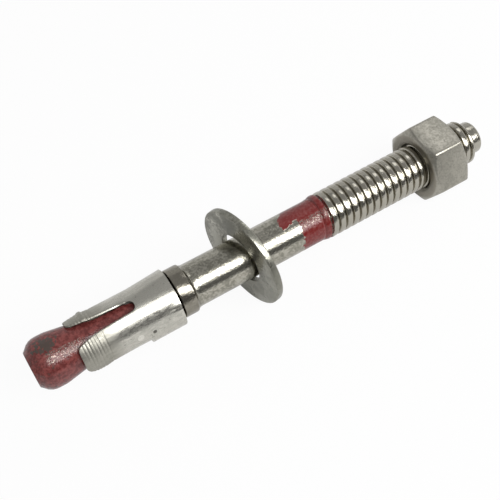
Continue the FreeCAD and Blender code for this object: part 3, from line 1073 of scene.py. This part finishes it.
class AddNut(bpy.types.Operator):
    """Adds the hexagon nut with chamfered corners"""

    bl_idname = "anchor.add_nut"
    bl_label = "Nut"

    def execute(self, context):
        size = context.scene.anchor_nut
        nut = ring("hex_nut_body", size.bore, size.countersink)
        wide = size.bore + size.countersink
        rim = 0.0003
        extrude_rings([
            (size.countersink, size.bore), (0.0, wide), (0.0, size.chamfer), (rim, size.flats / 2),
            (size.height - rim, size.flats / 2), (size.height, size.chamfer), (size.height, wide),
            (size.height - size.countersink, size.bore), (size.countersink, size.bore),
        ])
        to_objects()
        for point in nut.data.vertices:
            radius = math.hypot(point.co.y, point.co.z)
            if radius > size.chamfer * 1.01:
                turn = math.atan2(point.co.z, point.co.y)
                reach = hexagon_reach(turn, size.flats)
                drop = (reach - size.chamfer) * math.tan(size.chamfer_angle)
                front = point.co.x < size.height / 2
                point.co.x = drop if front else size.height - drop
                point.co.y *= reach / radius
                point.co.z *= reach / radius
        clean(nut)
        apply(
            nut, "BEVEL", width=size.edge, segments=3, limit_method="ANGLE",
            angle_limit=math.radians(22.0), use_clamp_overlap=True,
        )
        clean(nut, NUT_CLEAN_DISTANCE)
        settle(nut, sharp=30.0, place=LIE @ Matrix.Translation((size.station, 0.0, 0.0)))
        dress(nut, nut_finish, "nut", "hex_nut")
        return {"FINISHED"}


# Stage

def add_lamp(name, power, place, along, size):
    """A soft lamp that faces the anchor, with its long side along a direction."""
    lamp = bpy.data.lights.new(name, "AREA")
    lamp.shape = "RECTANGLE"
    lamp.size, lamp.size_y = size
    lamp.energy = power
    holder = bpy.data.objects.new(name, lamp)
    bpy.context.scene.collection.objects.link(holder)
    back = Vector((0.0, place[1], place[2])).normalized()
    side = back.cross(Vector(along)).normalized()
    turn = Matrix((side.cross(back), side, back)).transposed()
    holder.matrix_world = Matrix.Translation(place) @ turn.to_4x4()


def floor_finish(colours):
    """Pale floor that looks white and still keeps the anchor's shadow."""
    own_glow = 0.94
    mirrored_glow = 0.15
    finish = Finish(bpy.data.materials.new("floor"))
    finish.wear(base_color=colours.floor, roughness=0.9)
    seen, mirrored, through = (
        finish.node("ShaderNodeLightPath", output=ray)
        for ray in ("Is Camera Ray", "Is Glossy Ray", "Is Transmission Ray")
    )
    glowing = (seen * own_glow + (mirrored + through) * mirrored_glow).clamped()
    white = finish.node("ShaderNodeEmission", None, {"Color": (1.0, 1.0, 1.0), "Strength": 1.0})
    plain = Value(finish, finish.tree.nodes["Principled BSDF"].outputs[0])
    surface = finish.node("ShaderNodeMixShader", None, {0: glowing, 1: plain, 2: white})
    finish.join(finish.tree.nodes["Material Output"].inputs["Surface"], surface)
    return finish.owner


def studio_world():
    """A studio: pale beyond the anchor, grey overhead, dim on its near side, pale past the nut."""
    beyond, overhead, near_side, past_nut, backdrop = (
        (level, level, level) for level in (0.62, 0.38, 0.16, 0.8, 0.965)
    )
    finish = Finish(bpy.data.worlds.new("studio"))
    view = finish.node("ShaderNodeTexCoord", output="Generated")
    sideways, across, height = finish.axes(view)
    round_x = finish.node("ShaderNodeMath", {"operation": "ARCTAN2"}, {0: height, 1: across})
    shade = finish.mix(round_x.above(0.5, 0.7), beyond, overhead)
    shade = finish.mix(round_x.above(2.3, 2.6), shade, near_side)
    shade = finish.mix(sideways.above(0.7, 0.8), shade, past_nut)
    seen = finish.node("ShaderNodeLightPath", output="Is Camera Ray")
    shade = finish.mix(seen, shade, backdrop)
    finish.join(finish.tree.nodes["Background"].inputs["Color"], shade)
    return finish.owner


class AddStage(bpy.types.Operator):
    """Adds the floor, the soft lamps and the camera"""

    bl_idname = "anchor.add_stage"
    bl_label = "Stage"

    def execute(self, context):
        size = context.scene.anchor_stage
        bpy.ops.object.select_all(action="DESELECT")
        bpy.ops.mesh.primitive_plane_add(size=size.floor)
        floor = context.object
        floor.name = "floor"
        floor.data.materials.append(floor_finish(context.scene.anchor_colours))
        context.scene.world = studio_world()
        add_lamp(
            "key", 2.2, place=(0.195, -0.28, 0.352), along=(0.29, -0.125, -0.09), size=(0.51, 0.22),
        )
        add_lamp(
            "fill", 0.18, place=(0.345, 0.23, 0.387), along=(1.0, 0.0, 0.0), size=(0.24, 0.16),
        )
        lens = bpy.data.cameras.new("camera")
        lens.lens = size.lens
        lens.sensor_width = 36.0
        lens.clip_start = 0.005
        camera = bpy.data.objects.new("camera", lens)
        context.scene.collection.objects.link(camera)
        camera.location = size.camera_place
        camera.rotation_euler = size.camera_turn
        context.scene.camera = camera
        context.scene.view_settings.view_transform = "Standard"
        return {"FINISHED"}


class AnchorPanel(bpy.types.Panel):
    """Lists the anchor's pieces"""

    bl_idname = "VIEW3D_PT_anchor"
    bl_label = "Wedge anchor"
    bl_space_type = "VIEW_3D"
    bl_region_type = "UI"
    bl_category = "Anchor"

    def draw(self, context):
        for operator in OPERATORS:
            self.layout.operator(operator.bl_idname)
        for name in SETTINGS:
            box = self.layout.box()
            box.label(text=name.replace("_", " ").capitalize())
            settings = getattr(context.scene, name)
            for prop in settings.bl_rna.properties:
                if prop.identifier not in ("rna_type", "name"):
                    box.prop(settings, prop.identifier)


OPERATORS = (AddStud, AddClip, AddWasher, AddNut, AddStage)
SETTINGS = {
    "anchor_stud": StudSizes,
    "anchor_thread": ThreadSizes,
    "anchor_clip": ClipSizes,
    "anchor_washer": WasherSizes,
    "anchor_nut": NutSizes,
    "anchor_colours": Colours,
    "anchor_stage": StageSizes,
}


def register():
    for group in SETTINGS.values():
        bpy.utils.register_class(group)
    for name, group in SETTINGS.items():
        setattr(bpy.types.Scene, name, bpy.props.PointerProperty(type=group))
    for operator in OPERATORS:
        bpy.utils.register_class(operator)
    bpy.utils.register_class(AnchorPanel)


def unregister():
    bpy.utils.unregister_class(AnchorPanel)
    for operator in reversed(OPERATORS):
        bpy.utils.unregister_class(operator)
    for name, group in reversed(SETTINGS.items()):
        delattr(bpy.types.Scene, name)
        bpy.utils.unregister_class(group)


def main():
    register()
    bpy.ops.anchor.add_stud()
    bpy.ops.anchor.add_clip()
    bpy.ops.anchor.add_washer()
    bpy.ops.anchor.add_nut()
    bpy.ops.anchor.add_stage()


if __name__ == "__main__":
    main()
